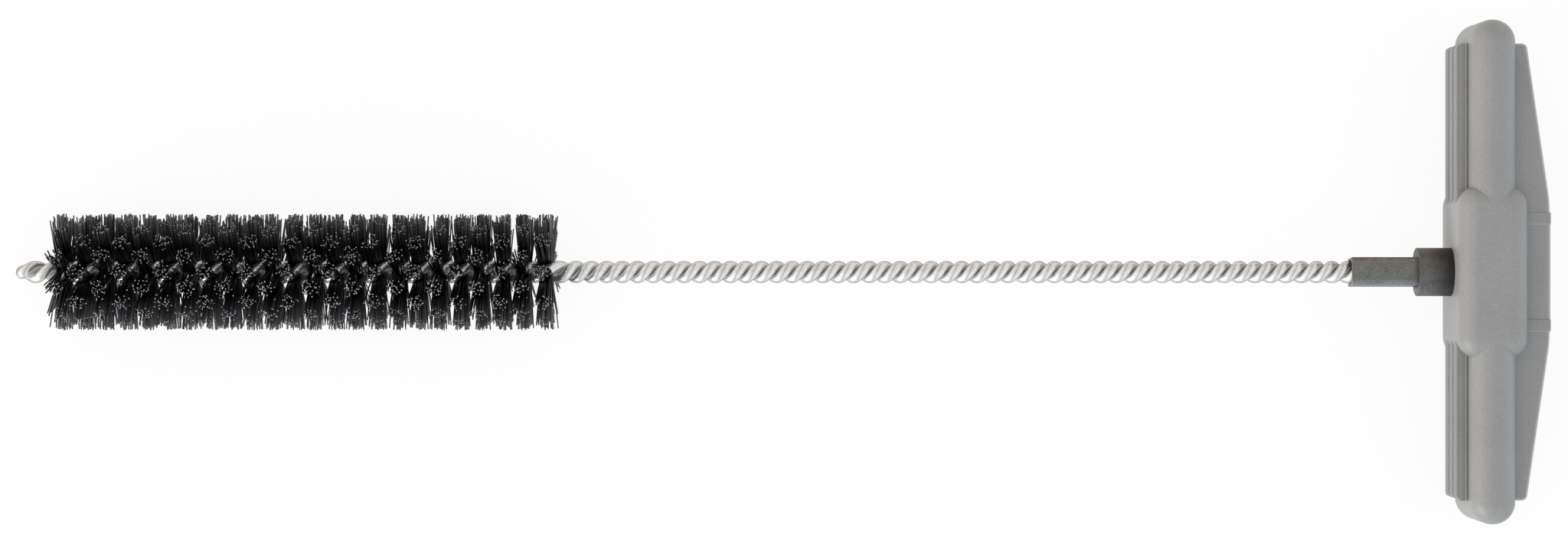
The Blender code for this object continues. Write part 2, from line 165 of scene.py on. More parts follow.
def roundedOutline(corners, arcSteps):
    # each corner (x, y, radius) becomes an arc; returns points and their outward normals, anticlockwise
    points, normals = [], []
    for index, (x, y, radius) in enumerate(corners):
        here = np.array([x, y])
        before = np.array(corners[index - 1][:2]) - here
        after = np.array(corners[(index + 1) % len(corners)][:2]) - here
        before, after = before / np.linalg.norm(before), after / np.linalg.norm(after)
        halfAngle = math.acos(np.clip(before @ after, -1, 1)) / 2
        bisector = (before + after) / np.linalg.norm(before + after)
        centre = here + bisector * radius / math.sin(halfAngle)
        # from the outward normal of the side before the corner to that of the side after it
        start = math.atan2(before[0], -before[1])
        turn = (math.atan2(-after[0], after[1]) - start + math.pi) % twoPi - math.pi
        for angle in start + turn * np.linspace(0, 1, arcSteps + 1):
            normal = np.array([math.cos(angle), math.sin(angle)])
            points.append(centre + radius * normal)
            normals.append(normal)
    return np.array(points), np.array(normals)


def mouldedSlab(corners, halfThickness, edge, steps, support=grip["support"]):
    # point = outline - inset * normal, where inset = edge * (1 - cos t) and height = edge * sin t past the
    # straight side, t going from the back face's -90 degrees to the front face's 90
    arcSteps, edgeSteps = steps
    outline, normals = roundedOutline(corners, arcSteps)
    turn = np.linspace(0, math.pi / 2, edgeSteps + 1)
    inset = edge * (1 - np.cos(turn))
    height = halfThickness - edge + edge * np.sin(turn)
    insets = np.concatenate([[edge + support], inset[::-1], inset, [edge + support]])
    heights = np.concatenate([[-halfThickness], -height[::-1], height, [halfThickness]])
    flat = outline[None] - insets[:, None, None] * normals[None]
    rows, columns = flat.shape[:2]
    levels = np.broadcast_to(heights[:, None, None], (rows, columns, 1))
    points = np.concatenate([flat, levels], axis=2)
    return points.reshape(-1, 3), [gridFaces(rows, columns), endCaps(rows, columns)]


def paintedHighlightEdges(kind, points, quads):
    # the quads of a part's edges that get a painted highlight, a paler plastic: a thin line round the web and the
    # pad, and the ribs' lower edges; the normal of a quad is the cross product of its diagonals
    first, second, third, fourth = (points[quads[:, corner]] for corner in range(4))
    normal = np.cross(third - first, fourth - second)
    normal /= np.maximum(np.linalg.norm(normal, axis=1, keepdims=True), grip["leastArea"])
    x, y, z = normal.T
    if kind == "rib":
        highY, lowZ = grip["ribHighlight"]
        return (y < highY) & (z > lowZ)
    lowZ, highZ, lowX = grip["webHighlight"]
    return (kind == "web") & (z > lowZ) & (z < highZ) & (x > lowX)


def makeGrip(material, highlightMaterial):
    g = grip
    hubX = handleLow.x
    barX = hubX + g["hubProud"]
    barEndX = barX + g["barWidth"]
    centreX = (barX + barEndX) / 2
    halfLength = (handleHigh.y - handleLow.y) / 2
    halfGrip = (handleHigh.z - handleLow.z) / 2
    # the bar's ends are half circles whose corner arcs stop just short of each other
    bar = mouldedSlab(rectangle(barX, barEndX, 0, halfLength, g["barWidth"] / 2 - g["barEase"]),
                      halfGrip - g["barRise"], g["barEdge"], g["barSteps"])
    hub = mouldedSlab(rectangle(hubX, hubX + g["hubDepth"], 0, g["hubLength"] / 2, g["hubCorner"]),
                      halfGrip, g["hubEdge"], g["hubSteps"])

    halfWeb, halfFlank, halfShoulder = g["webThickness"] / 2, g["flankLength"] / 2, g["webShoulderLength"] / 2
    endX, shoulderX = barEndX + g["webEndReach"], barEndX + g["webShoulderReach"]
    upper = [(shoulderX, halfShoulder, g["webShoulderRadius"]), (endX, halfFlank, g["flankCorner"]),
             (centreX, halfFlank, g["flankCorner"])]
    lower = [(x, -y, radius) for x, y, radius in upper[::-1]]
    web = mouldedSlab(lower + upper, halfWeb, g["webEdge"], g["webSteps"])

    halfPad, halfRib = g["padLength"] / 2, g["ribWidth"] / 2
    pad = mouldedSlab(rectangle(centreX, handleHigh.x, 0, halfPad, g["padCorner"]), halfWeb - g["padRecess"],
                      g["webEdge"], g["webSteps"])
    parts = [("bar", bar), ("hub", hub), ("web", web), ("web", pad)]
    for side in (-1, 1):
        middle = side * (halfPad - g["padRecess"] - halfRib)
        outline = rectangle(centreX, handleHigh.x - g["padRecess"], middle, halfRib, g["ribCorner"])
        parts.append(("rib", mouldedSlab(outline, halfWeb + g["ribHeight"], g["ribEdge"], g["ribSteps"],
                                         g["ribSupport"])))

    # pale marks the quads that take the painted highlight
    points, faces, pale = [], [], []
    for kind, (partPoints, (quads, caps)) in parts:
        start = sum(len(done) for done in points)
        points.append(partPoints + [0, 0, axisZ])
        faces += [quads + start, caps + start]
        pale += [paintedHighlightEdges(kind, partPoints, quads), np.zeros(len(caps), bool)]
    mesh = meshFrom("gripMoulding", np.concatenate(points), faces, [material, highlightMaterial], np.concatenate(pale))
    mesh.set_sharp_from_angle(angle=g["sharpAngle"])
    addPiece("gripMoulding", mesh, ["t_handle"])
    print("grip moulded:", len(mesh.polygons), "faces")


def ridgeProfile():
    # (x past the ridges' crests, z from the middle), from under the bar round the ridges to over it; the
    # outer ridges fall away towards the bar, with a thin bead at the bar's foot
    g = grip
    half = (g["ridgePitch"] - g["grooveWidth"]) / 2
    valley = g["ridgePitch"] + half - g["valleyDrop"]
    inside, foot = g["ridgeProud"] + g["barWidth"] / 2, valley + g["beadRise"] / 2
    beadX, beadZ = g["ridgeProud"] - g["beadPlace"], valley + g["beadRise"]
    wide, narrow = g["beadFoot"] * g["beadHalf"], g["beadCrown"] * g["beadHalf"]
    upper = [(beadX + wide, foot), (beadX + narrow, beadZ), (beadX - narrow, beadZ), (beadX - wide, valley)]
    profile = [(inside, -foot)] + [(x, -z) for x, z in upper]
    turn = np.linspace(0, math.pi / 2, g["ridgeSteps"] + 1)
    rounding = g["ridgeEdge"] * (1 - np.stack([np.sin(turn), np.cos(turn)], axis=1))
    for middle in (-g["ridgePitch"], 0, g["ridgePitch"]):
        low = [(x, middle - half + z) for x, z in rounding]
        high = [(x, 2 * middle - z) for x, z in low[::-1]]
        start = [] if middle < 0 else [(g["grooveDepth"], middle - half - g["grooveDraft"])]
        end = [] if middle > 0 else [(g["grooveDepth"], middle + half + g["grooveDraft"])]
        profile += start + low + high + end
    return np.array(profile + upper[::-1] + [(inside, foot)])


def makeRidges(bandMaterial, crestMaterial):
    # point = (max(profile x, end arc x), y, profile z): the profile runs along the bar, and the arc
    # rounds both its ends off
    g = grip
    halfFlank, corner = g["flankLength"] / 2, g["flankCorner"]
    ridgeX = handleLow.x + g["hubProud"] - g["ridgeProud"]
    profile = ridgeProfile()
    turn = np.linspace(0, math.pi / 2, g["flankSteps"] + 1)
    endY = halfFlank - corner * (1 - np.cos(turn))
    endX = ridgeX + corner * (1 - np.sin(turn))
    y = np.concatenate([-endY, endY[::-1]])[:, None]
    least = np.concatenate([endX, endX[::-1]])[:, None]
    x = np.maximum(ridgeX + profile[:, 0], least)
    z = axisZ + np.broadcast_to(profile[:, 1], x.shape)
    points = np.stack([x, np.broadcast_to(y, x.shape), z], axis=-1)
    rows, columns = x.shape
    quads, caps = gridFaces(rows, columns), endCaps(rows, columns)
    # the bands beside the bar take the grip's plastic, the rest its darker copy
    column = quads[:, 0] % columns
    band = np.minimum(profile[column, 0], np.roll(profile, -1, axis=0)[column, 0]) >= g["ridgeEdge"]
    band &= np.abs(profile[column, 1]) > g["ridgePitch"] + g["grooveWidth"]
    darkerCopy = np.concatenate([~band, np.ones(len(caps), bool)])
    mesh = meshFrom("fingerRidges", points.reshape(-1, 3), [quads, caps], [bandMaterial, crestMaterial], darkerCopy)
    mesh.set_sharp_from_angle(angle=g["sharpAngle"])
    addPiece("fingerRidges", mesh, ["t_handle"])
    print("finger ridges moulded:", len(mesh.polygons), "faces")


# Socket collar and drive shank: sections whose radius changes with the angle round the wire's axis

socket = {
    "roll": math.radians(-4.3), "shankHalf": 3.03 * mm, "shankCorner": 0.45 * mm, "shankChamfer": 0.12 * mm,
    "intoCollar": 17 * mm, "bore": 2.56 * mm, "boreDepth": 11.0 * mm, "boreChamfer": 0.1 * mm,
    "collarRadius": 5.22 * mm, "collarShown": 7.49 * mm, "collarChamfer": 0.22 * mm, "chamferMiddle": 0.3,
    "intoHub": 3 * mm, "holeClearance": 0.06 * mm, "holeDepth": 3 * mm,
    # the hole's edge is rounded; its middle point lies this far in, as shares of the rounding
    "holeRounding": 0.1 * mm, "holeMiddle": (0.2, 0.3),
    # points this far from an edge keep the flat beside it flat
    "shankSupport": 0.04 * mm, "faceSupport": 0.05 * mm, "sideSupport": 0.1 * mm, "hubSupport": 0.55 * mm,
    # even steps all round, and closer ones within so many degrees of the square's corners
    "evenSteps": 72, "cornerDegrees": 6.5, "cornerPoints": 11, "angleDigits": 5,
    "sharpAngle": math.radians(30),
    # heights that the painted reflection spans, paler and bluish low down and brownish along the top, and where
    # the collar's painted shade towards the hub begins to deepen
    "collarSideLightSpan": 5.2 * mm, "shankSideLightSpan": 3.1 * mm, "paintedShadeFrom": 1 * mm,
}


def socketAngles():
    # angles round the axis, closer together over the four corners of the square
    s = socket
    corner = np.radians(np.linspace(-s["cornerDegrees"], s["cornerDegrees"], s["cornerPoints"]))
    corners = [s["roll"] + math.pi / 4 + quarter * math.pi / 2 + corner for quarter in range(4)]
    even = np.arange(s["evenSteps"]) * twoPi / s["evenSteps"]
    return np.unique(np.round(np.concatenate([even, *corners]) % twoPi, s["angleDigits"]))


def squareRadius(angle, half, corner):
    # distance from the centre to a square with rounded corners: the flat side's half / cos, or where the
    # ray meets the corner's circle
    across, up = np.abs(np.cos(angle - socket["roll"])), np.abs(np.sin(angle - socket["roll"]))
    flat = half / np.maximum(across, up)
    reach = half - corner
    root = np.maximum(corner ** 2 - (reach * (across - up)) ** 2, 0)
    onCorner = np.minimum(across, up) * flat > reach
    return np.where(onCorner, reach * (across + up) + np.sqrt(root), flat)


def loftStations(name, stations, material):
    # stations are (x, one radius or a radius for each angle a): point = (x, radius * cos a,
    # axis + radius * sin a)
    angle = socketAngles()
    rows = [np.stack([np.full(len(angle), x), radius * np.cos(angle), axisZ + radius * np.sin(angle)], axis=1)
            for x, radius in stations]
    faces = [gridFaces(len(rows), len(angle)), endCaps(len(rows), len(angle))]
    mesh = meshFrom(name, np.concatenate(rows), faces, [material])
    mesh.set_sharp_from_angle(angle=socket["sharpAngle"])
    return mesh


def makeCollar(material):
    # out of the square hole, over its rounded edge, the face and the chamfer, and back into the hub
    s = socket
    hole = squareRadius(socketAngles(), s["shankHalf"] + s["holeClearance"], s["shankCorner"])
    rounding, outer, chamfer, x = s["holeRounding"], s["collarRadius"], s["collarChamfer"], collarLow.x
    behind, past = (share * rounding for share in s["holeMiddle"])
    middle = s["chamferMiddle"] * chamfer
    stations = [(x + s["holeDepth"], hole), (x + rounding, hole), (x + behind, hole + past), (x, hole + rounding),
                (x, outer - chamfer - s["faceSupport"]), (x, outer - chamfer), (x + middle, outer - middle),
                (x + chamfer, outer), (x + chamfer + s["sideSupport"], outer),
                (x + s["collarShown"] - s["hubSupport"], outer), (x + s["collarShown"] + s["intoHub"], outer)]
    mesh = loftStations("socketCollar", stations, material)
    addPiece("socketCollar", mesh, ["socket_collar"])
    print("collar turned:", len(mesh.polygons), "faces")


def makeShank(material):
    # out of the wire's bore, over the end face and its chamfers, and back into the collar
    s = socket
    angle = socketAngles()
    full = squareRadius(angle, s["shankHalf"], s["shankCorner"])
    eased = squareRadius(angle, s["shankHalf"] - s["shankChamfer"], s["shankCorner"])
    bore, x = s["bore"], shankLow.x
    stations = [(x + s["boreDepth"], bore), (x + s["boreChamfer"], bore), (x, bore + s["boreChamfer"]),
                (x, eased - s["shankSupport"]), (x, eased), (x + s["shankChamfer"], full),
                (x + 2 * s["shankChamfer"], full), (x + s["intoCollar"], full)]
    mesh = loftStations("driveShank", stations, material)
    addPiece("driveShank", mesh, ["drive_shank"])
    print("shank squared:", len(mesh.polygons), "faces")


# Twisted wire: one strand goes down to the tip, folds over and comes back beside itself

twist = {
    "strandRadius": 1.2 * mm, "stemCentre": 1.213 * mm, "ringBulge": 0.13 * mm,
    "stemPitch": 6.665 * mm, "settle": 3.4 * mm, "intoShank": 8.0 * mm,
    "pointsPerTurn": 26, "foldPoints": 25, "sides": 24,
}


def twistStations():
    # where the twist changes its pace, and its angle there: two rings a turn in the head, half a turn to
    # settle, then the stem's own pitch
    foldX = wireLow.x + twist["strandRadius"] + twist["stemCentre"]
    settled = lastRing + twist["settle"]
    end = shankLow.x + twist["intoShank"]
    atLast = math.pi / 2 - math.pi * (lastRing - firstRing) / ringPitch
    atSettled = atLast - math.pi / 2
    angles = [math.pi / 2 + math.pi * (firstRing - foldX) / ringPitch, math.pi / 2, atLast, atSettled,
              atSettled - twoPi * (end - settled) / twist["stemPitch"]]
    return np.array([foldX, firstRing, lastRing, settled, end]), np.array(angles)


def tubeAlong(path, side, radius, count):
    # a circle of the given radius round each path point, in the plane of the side vector and the one
    # square to it and the path: point = path + radius * (cos a * side + sin a * across)
    tangent = np.gradient(path, axis=0)
    tangent /= np.linalg.norm(tangent, axis=1, keepdims=True)
    side = side - (side * tangent).sum(1, keepdims=True) * tangent
    side /= np.linalg.norm(side, axis=1, keepdims=True)
    across = np.cross(tangent, side)
    angle = np.arange(count) * twoPi / count
    spokes = side[:, None] * np.cos(angle)[:, None] + across[:, None] * np.sin(angle)[:, None]
    return path[:, None] + radius * spokes


def makeWire(material):
    # y = r * cos(angle), z = axis + r * sin(angle); round the fold at the tip r = centre * cos(s) and
    # x = fold - centre * sin(s)
    stations, stationAngles = twistStations()
    foldX, settled = stations[0], stations[3]
    turns = abs(stationAngles[-1] - stationAngles[0]) / twoPi
    x = np.linspace(foldX, stations[-1], int(turns * twist["pointsPerTurn"]))
    angle = np.interp(x, stations, stationAngles)
    # the filaments hold the strands apart at each ring
    headShare = np.interp(x, [foldX, firstRing, lastRing, settled], [0, 1, 1, 0])
    bulge = 0.5 + 0.5 * np.cos(twoPi * (x - firstRing) / ringPitch)
    centre = twist["stemCentre"] + twist["ringBulge"] * headShare * bulge
    swing = np.linspace(0, math.pi, twist["foldPoints"] + 2)[1:-1]
    tipX = foldX - twist["stemCentre"] * np.sin(swing)
    tipAngle = angle[0] + math.pi * (foldX - tipX) / ringPitch
    allX = np.concatenate([x[::-1], tipX, x])
    allAngle = np.concatenate([angle[::-1], tipAngle, angle])
    allRadius = np.concatenate([centre[::-1], twist["stemCentre"] * np.cos(swing), -centre])
    path = np.stack([allX, allRadius * np.cos(allAngle), axisZ + allRadius * np.sin(allAngle)], axis=1)
    side = np.stack([np.zeros(len(path)), -np.sin(allAngle), np.cos(allAngle)], axis=1)
    rows, columns = len(path), twist["sides"]
    rings = tubeAlong(path, side, twist["strandRadius"], columns)
    faces = [gridFaces(rows, columns), endCaps(rows, columns)]
    mesh = meshFrom("twistedWire", rings.reshape(-1, 3), faces, [material])
    # u runs once round the strand, v along it in metres; the last column's quads end at u = 1, not at 0
    along = np.concatenate([[0], np.cumsum(np.linalg.norm(np.diff(path, axis=0), axis=1))])
    corners = np.concatenate([group.ravel() for group in faces])
    u = (corners % columns) / columns
    walls = u[:faces[0].size].reshape(-1, 4)
    lastColumn = walls[:, 0] > 1 - 1.5 / columns
    walls[lastColumn, 1:3] = 1.0
    uv = np.stack([u, along[corners // columns]], axis=1)
    mesh.uv_layers.new(name="alongWire").data.foreach_set("uv", uv.astype(np.float32).ravel())
    addPiece("twistedWire", mesh, ["twisted_wire"])
    print("wire twisted:", len(mesh.polygons), "faces")


# Bristle rings: eleven tufts of filaments a ring, each filament bent out from between the wire's strands

bristles = {
    "tufts": 11, "perTuft": 29, "radius": 0.158 * mm, "sides": 6,
    "steps": (0.0, 0.2, 0.38, 0.6, 0.988, 1.0), "tipShare": 0.96, "sharpAngle": math.radians(70),
    "reach": 12.64 * mm, "ragged": 1.5 * mm, "tuftAround": 1.85 * mm, "tuftTilt": 0.26 * mm,
    # filaments fill a tuft like the seeds of a sunflower, each one a little off its place
    "goldenAngle": 2.39996, "uneven": 0.16, "strays": 0.04, "strayReach": 1.5,
    # at the tip and at the stem: the tufts spread wider towards the tip
    "tuftAxial": (1.89 * mm, 1.76 * mm), "rootAxial": (1.5 * mm, 1.15 * mm), "rootUneven": (0.3 * mm, 0.12 * mm),
    "rootSide": 0.9 * mm, "rootLift": 0.1 * mm, "rootLimit": 1.2,
    "elbowSide": 2.6 * mm, "elbowOut": 1.5 * mm, "throat": 4.1 * mm, "throatShare": 0.4, "crossing": 0.36,
    # how the end rings splay: stretch along the wire, and shift
    "tipSplay": (1.08, -0.5 * mm), "stemSplay": (1.1, 0.3 * mm), "randomSeed": 101,
}


def filamentEnds(random, index, tuftAxial):
    # tip = (lean, out * sin a, out * cos a) with a = tuft angle + place across the tuft / reach; the length
    # stays the same, so a filament that leans along the wire reaches less far out
    b = bristles
    count = b["tufts"] * b["perTuft"]
    tuft = np.repeat(np.arange(b["tufts"]), b["perTuft"]) * twoPi / b["tufts"]
    order = np.tile(np.arange(b["perTuft"]), b["tufts"])
    spin = order * b["goldenAngle"] + random.uniform(0, twoPi, b["tufts"]).repeat(b["perTuft"])
    stray = np.where(random.random(count) < b["strays"], b["strayReach"], 1.0)
    spread = np.sqrt((order + 0.5) / b["perTuft"]) * stray
    uneven = random.normal(0, b["uneven"], (2, count))
    leanX = (spread * np.cos(spin) + uneven[0]) * tuftAxial
    around = (spread * np.sin(spin) + uneven[1]) * b["tuftAround"]
    stretch, shift = {0: b["tipSplay"], len(ringNodes) - 1: b["stemSplay"]}.get(index, (1.0, 0.0))
    leanX = leanX * stretch + shift + random.normal(0, b["tuftTilt"], b["tufts"]).repeat(b["perTuft"])
    length = b["reach"] - b["ragged"] * random.random(count) ** 2
    angle = tuft + around / b["reach"]
    out = np.sqrt(length ** 2 - leanX ** 2)
    return np.stack([leanX, out * np.sin(angle), out * np.cos(angle)], axis=1)


def filamentPaths(random, index):
    # point(t) = (1-t)^3 root + 3t(1-t)^2 elbow + 3t^2(1-t) throat + t^3 tip: out of the slot between the
    # strands, round the strand beside it, then straight out; root and elbow are turned with the twist
    b = bristles
    tuftAxial, rootAxial, rootUneven = (np.interp(index, (0, len(ringNodes) - 1), b[name])
                                        for name in ("tuftAxial", "rootAxial", "rootUneven"))
    tip = filamentEnds(random, index, tuftAxial)
    count, leanX = len(tip), tip[:, 0]
    rootX = np.clip(leanX / tuftAxial, -b["rootLimit"], b["rootLimit"]) * rootAxial
    rootX = rootX + random.normal(0, rootUneven, count)
    outward = tip[:, 1:] / np.linalg.norm(tip[:, 1:], axis=1, keepdims=True)
    # over the strand that faces the tuft, filaments come from both sides of it and cross
    natural = -np.sign(rootX) * np.sign(outward[:, 1])
    side = np.where(np.abs(outward[:, 0]) < b["crossing"], natural, np.sign(outward[:, 0]))
    root = np.stack([rootX, side * b["rootSide"], random.normal(0, b["rootLift"], count)], axis=1)
    elbow = np.stack([rootX, side * b["elbowSide"], outward[:, 1] * b["elbowOut"]], axis=1)
    throat = np.stack([rootX + (leanX - rootX) * b["throatShare"], *(outward * b["throat"]).T], axis=1)
    turn = -math.pi * rootX / ringPitch
    for ends in (root, elbow):
        y, z = ends[:, 1].copy(), ends[:, 2].copy()
        ends[:, 1] = y * np.cos(turn) - z * np.sin(turn)
        ends[:, 2] = y * np.sin(turn) + z * np.cos(turn)
    if index % 2 == 0:  # every other ring is half a twist on
        for ends in (root, elbow, throat, tip):
            ends[:, 1:] *= -1
    t = np.array(b["steps"])[:, None, None]
    path = (1 - t) ** 3 * root + 3 * t * (1 - t) ** 2 * elbow + 3 * t ** 2 * (1 - t) * throat + t ** 3 * tip
    return path.transpose(1, 0, 2) + [firstRing + index * ringPitch, 0, axisZ]


def makeRing(index, nodeName, materials):
    # circles square to each filament: point = path + radius * (cos a * across + sin a * upward), all as one
    # array of (filament, step, side, xyz)
    b = bristles
    random = np.random.default_rng(b["randomSeed"] + index)
    path = filamentPaths(random, index)
    tangent = np.gradient(path, axis=1)
    tangent /= np.linalg.norm(tangent, axis=2, keepdims=True)
    across = np.cross(tangent, [1.0, 0.0, 0.0])
    across /= np.linalg.norm(across, axis=2, keepdims=True)
    upward = np.cross(across, tangent)
    count, rows, columns = len(path), len(b["steps"]), b["sides"]
    angle = np.arange(columns) * twoPi / columns
    cosine, sine = np.cos(angle)[:, None], np.sin(angle)[:, None]
    radius = b["radius"] * np.array([1.0] * (rows - 1) + [b["tipShare"]])[:, None, None]
    points = path[:, :, None] + radius * (across[:, :, None] * cosine + upward[:, :, None] * sine)
    start = (np.arange(count) * rows * columns)[:, None, None]
    walls = (gridFaces(rows, columns) + start).reshape(-1, 4)[:, ::-1]
    roots, cuts = (endCaps(rows, columns) + start)[:, :, ::-1].transpose(1, 0, 2)
    # the cut ends take the painted highlight material
    paintedEndGlint = np.concatenate([np.zeros(len(walls) + len(roots)), np.ones(len(cuts))])
    mesh = meshFrom(f"bristleRing{index + 1:02d}", points.reshape(-1, 3), [walls, roots, cuts], materials, paintedEndGlint)
    mesh.set_sharp_from_angle(angle=b["sharpAngle"])
    # the nylon reads one random tone a filament, and how far along it a point is
    tone = np.repeat(random.random(count), rows * columns)
    along = np.tile(np.repeat(b["steps"], columns), count)
    for name, values in (("tone", tone), ("along", along)):
        mesh.attributes.new(name, "FLOAT", "POINT").data.foreach_set("value", values.astype(np.float32))
    addPiece(mesh.name, mesh, [nodeName])
    return len(mesh.polygons)


# Materials: the lengths in each look are what one patch of a pattern measures on the real thing

def grainedMaterial(name, look, dark, light, **shaderValues):
    # a fine noise with a share of a cloudy one picks between two colours, and the fine one is the relief;
    # returns the material, its tree and shader, and the colour
    material, tree, shader = newMaterial(name, **shaderValues)
    place = addNode(tree, "ShaderNodeTexCoord").outputs["Object"]
    grain = addNode(tree, "ShaderNodeTexNoise", {"Scale": 1 / look["grain"], **look["grainNoise"]},
                    {"Vector": place}).outputs["Fac"]
    cloud = addNode(tree, "ShaderNodeTexNoise", {"Scale": 1 / look["cloud"], "Detail": 2.0},
                    {"Vector": place}).outputs["Fac"]
    mixed = addNode(tree, "ShaderNodeMath", {1: look["cloudShare"]}, {0: cloud, 2: grain},
                    operation="MULTIPLY_ADD")
    colour = addNode(tree, "ShaderNodeValToRGB", links={"Fac": mixed.outputs[0]},
                     stops=((look["darkTo"], linearColour(dark)), (look["lightFrom"], linearColour(light))))
    bump = addNode(tree, "ShaderNodeBump", {"Strength": look["relief"], "Distance": look["reliefHeight"]},
                   {"Height": grain})
    tree.links.new(bump.outputs["Normal"], shader.inputs["Normal"])
    return material, tree, shader, colour.outputs["Color"]


plasticLook = {
    "grain": 0.45 * mm, "grainNoise": {"Detail": 3.0, "Roughness": 0.6}, "cloud": 14 * mm, "cloudShare": 0.35,
    "darkTo": 0.3, "lightFrom": 1.0, "relief": 0.35, "reliefHeight": 0.03 * mm,
}


def mouldedPlastic(name, dark, light, roughness):
    # polypropylene from a spark-eroded mould: satin, with a fine matt grain and faint speckle
    material, tree, shader, colour = grainedMaterial(name, plasticLook, dark, light,
                                                     Roughness=roughness, IOR=1.49)
    tree.links.new(colour, shader.inputs["Base Color"])
    return material


steelLook = {
    "grain": 0.22 * mm, "grainNoise": {"Detail": 4.0, "Roughness": 0.7}, "cloud": 2.5 * mm, "cloudShare": 0.2,
    "darkTo": 0.35, "lightFrom": 0.85, "relief": 0.5, "reliefHeight": 0.03 * mm, "deepestPaintedShade": 0.28,
    # place between the lower side and the top, and what the painted reflection multiplies the steel's colour by
    # there: paler and bluish low down, darker and brownish along the top
    "paintedSideLight": ((0.0, (0.9, 0.94, 1.02, 1)), (1.0, (0.8, 0.7, 0.64, 1)), (0.1, (1.34, 1.43, 1.58, 1)),
             (0.19, (1.15, 1.21, 1.31, 1)), (0.27, (0.92, 0.94, 0.94, 1)), (0.7, (1.0, 0.99, 0.96, 1)),
             (0.92, (1.08, 0.95, 0.86, 1))),
}


def blastedSteel(name, dark, light, roughness, halfHeight, paintedShadeFrom=None, paintedShadeTo=None):
    # shot-blasted and blackened steel: dull, with fine bright and dark pits; a painted reflection makes it paler
    # and bluish along the lower side and brownish along the top, and painted shade darkens it towards the grip
    # where a start and an end for that are given
    material, tree, shader, finish = grainedMaterial(name, steelLook, dark, light,
                                                     Metallic=0.75, Roughness=roughness)
    place = addNode(tree, "ShaderNodeTexCoord").outputs["Object"]
    places = addNode(tree, "ShaderNodeSeparateXYZ", links={"Vector": place}).outputs
    height = addNode(tree, "ShaderNodeMapRange", {"From Min": -halfHeight, "From Max": halfHeight},
                     {"Value": places["Y"]})
    # painted reflection: paler and bluish low down, brownish along the top
    paintedSideLight = addNode(tree, "ShaderNodeValToRGB", links={"Fac": height.outputs["Result"]}, stops=steelLook["paintedSideLight"])
    layers = [paintedSideLight.outputs["Color"]]
    # painted shade: darker towards the hub
    if paintedShadeTo is not None:
        shadeToGrip = addNode(tree, "ShaderNodeMapRange", {"From Min": paintedShadeFrom, "From Max": paintedShadeTo, "To Min": 1.0,
                        "To Max": steelLook["deepestPaintedShade"]}, {"Value": places["X"]}, interpolation_type="SMOOTHSTEP")
        layers.append(shadeToGrip.outputs["Result"])
    for layer in layers:
        finish = addNode(tree, "ShaderNodeMix", {"Factor": 1.0}, {"A": finish, "B": layer}, data_type="RGBA",
                         blend_type="MULTIPLY").outputs["Result"]
    tree.links.new(finish, shader.inputs["Base Color"])
    return material


wireLook = {
    "dark": "#cbcac7", "light": "#dddcd9", "paintedGrooveLight": "#e6e5e2", "edge": "#96806e", "cloud": 1.6 * mm,
    "linesRound": 26.0, "lineLength": 9 * mm, "lineDepth": 0.02 * mm,
    # where round the strand its inner side is, and how far to either side the painted groove light, a pale less
    # metallic band, thins out
    "inside": 0.75, "grooveLightEnds": 0.23, "grooveLightFull": 0.12,
}


def zincWire():
    # galvanised spring wire: bright, with faint drawing lines along the strand, cloudy zinc and a brownish tint
    # where it turns away, and painted light on the sides where the strands face each other: a pale, less metallic
    # band that lightens the groove's shade
    look = wireLook
    material, tree, shader = newMaterial("galvanisedDrawnWire", Specular_Tint=linearColour(look["edge"]))
    uv = addNode(tree, "ShaderNodeUVMap", uv_map="alongWire").outputs["UV"]
    stretched = addNode(tree, "ShaderNodeMapping", {"Scale": (look["linesRound"], 1 / look["lineLength"], 1.0)},
                        {"Vector": uv})
    lines = addNode(tree, "ShaderNodeTexNoise", {"Scale": 1.0, "Detail": 3.0},
                    {"Vector": stretched.outputs["Vector"]})
    place = addNode(tree, "ShaderNodeTexCoord").outputs["Object"]
    cloud = addNode(tree, "ShaderNodeTexNoise", {"Scale": 1 / look["cloud"], "Detail": 3.0},
                    {"Vector": place}).outputs["Fac"]
    colour = addNode(tree, "ShaderNodeValToRGB", links={"Fac": cloud},
                     stops=((0.3, linearColour(look["dark"])), (0.7, linearColour(look["light"]))))
    # painted light: a pale, less metallic band on the strand's inner side lightens the groove
    aroundStrand = addNode(tree, "ShaderNodeSeparateXYZ", links={"Vector": uv}).outputs["X"]
    fromInside = addNode(tree, "ShaderNodeMath", {1: look["inside"]}, {0: aroundStrand}, operation="SUBTRACT")
    off = addNode(tree, "ShaderNodeMath", links={0: fromInside.outputs[0]}, operation="ABSOLUTE")
    inside = addNode(tree, "ShaderNodeMapRange", {"From Min": look["grooveLightEnds"], "From Max": look["grooveLightFull"]},
                     {"Value": off.outputs[0]}).outputs["Result"]
    paintedGrooveLight = addNode(tree, "ShaderNodeMix", {"B": linearColour(look["paintedGrooveLight"])},
                   {"Factor": inside, "A": colour.outputs["Color"]}, data_type="RGBA")
    metal = addNode(tree, "ShaderNodeMapRange", {"To Min": 0.85, "To Max": 0.2}, {"Value": inside})
    rough = addNode(tree, "ShaderNodeMapRange", {"To Min": 0.2, "To Max": 0.34}, {"Value": cloud})
    bump = addNode(tree, "ShaderNodeBump", {"Strength": 0.45, "Distance": look["lineDepth"]},
                   {"Height": lines.outputs["Fac"]})
    tree.links.new(paintedGrooveLight.outputs["Result"], shader.inputs["Base Color"])
    tree.links.new(metal.outputs["Result"], shader.inputs["Metallic"])
    tree.links.new(rough.outputs["Result"], shader.inputs["Roughness"])
    tree.links.new(bump.outputs["Normal"], shader.inputs["Normal"])
    return material


